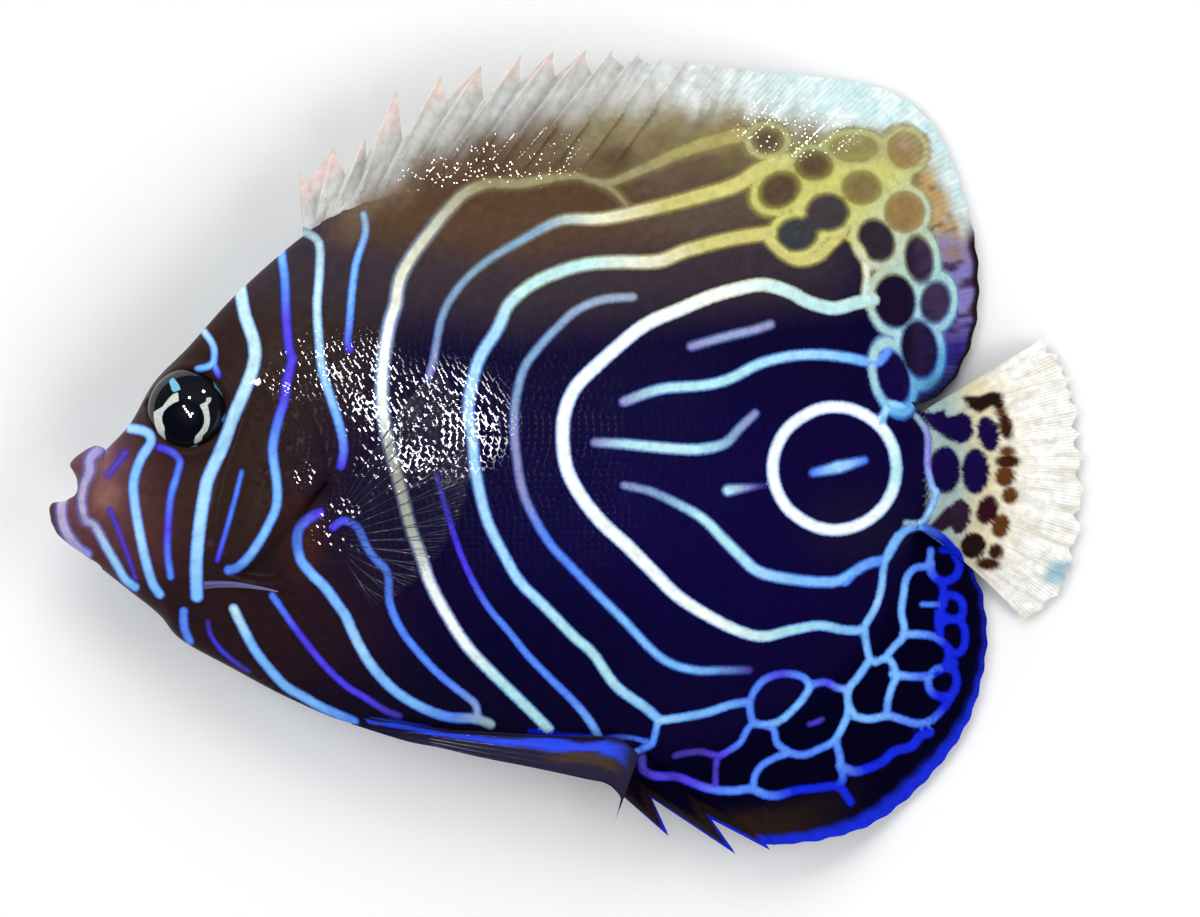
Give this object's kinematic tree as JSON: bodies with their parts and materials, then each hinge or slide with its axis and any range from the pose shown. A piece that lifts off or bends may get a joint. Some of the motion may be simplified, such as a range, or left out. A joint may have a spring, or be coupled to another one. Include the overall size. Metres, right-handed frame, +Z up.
{
  "type": "emperor angelfish model",
  "caption": "Life-size young emperor angelfish lying on its right side: striped deep body, spread fins, small mouth, cheek spine.",
  "frame": {"origin": "on the floor plane, under the middle of the fish's outline seen from above", "axes": "+X from the snout to the tail, +Y from the belly to the back, +Z up out of the left flank"},
  "size_m": [0.1076, 0.0836, 0.0174],
  "materials": {
    "head_skin": "wet scaled skin, dark brown with pale blue lines",
    "lip_skin": "wet bare skin, brown with lilac bands",
    "body_skin": "wet scaled skin, deep blue with white and pale blue lines",
    "eye": "clear wet cornea over a black eye with a bone-coloured ring",
    "dorsal_fin": "scaled fin skin, olive to yellow, clear grey at its rim",
    "blue_fin": "fin skin, blue-black with a bright blue rim",
    "tail_fin": "clear cream fin skin with brown spots near its root",
    "clear_fin": "thin clear fin skin over fine rays"
  },
  "bodies": {
    "root": {"head": "head_skin", "upper_lip": "lip_skin", "lower_jaw": "lip_skin", "gill_cover_left": "head_skin", "gill_cover_right": "head_skin", "eye_left": "eye", "eye_right": "eye", "trunk": "body_skin", "tail_base": "body_skin", "dorsal_fin_spines": "dorsal_fin", "dorsal_fin_rays": "dorsal_fin", "anal_fin": "blue_fin", "tail_fin": "tail_fin", "breast_fin_left": "clear_fin", "breast_fin_right": "clear_fin", "belly_fin_left": "blue_fin", "belly_fin_right": "blue_fin"}
  },
  "joints": []
}
